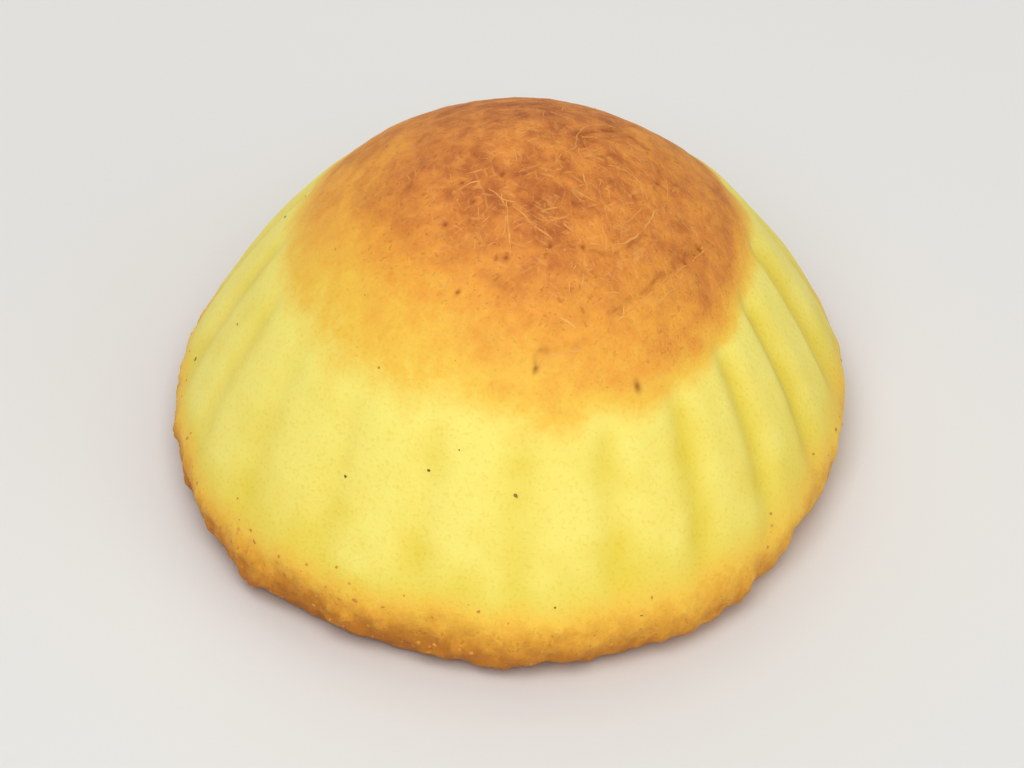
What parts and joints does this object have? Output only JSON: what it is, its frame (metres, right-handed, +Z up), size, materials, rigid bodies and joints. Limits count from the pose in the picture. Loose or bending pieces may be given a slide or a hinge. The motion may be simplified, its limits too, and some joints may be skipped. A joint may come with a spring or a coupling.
{
  "type": "maamoul cookie",
  "caption": "Moulded filled cookie: a yellow dome with soft flutes round its side, a plain browned cap and a flat round base.",
  "frame": {"origin": "middle of the bounding box on the resting face", "axes": "+Z up out of the cap, -Y towards the side with the shallowest flutes"},
  "size_m": [0.0406, 0.0416, 0.0232],
  "materials": {
    "crust": "baked shortcrust: pale yellow and satin on the fluted side, browned and finely crumbed on the cap and round the rim"
  },
  "bodies": {
    "root": {"maamoul": "crust"}
  },
  "joints": []
}
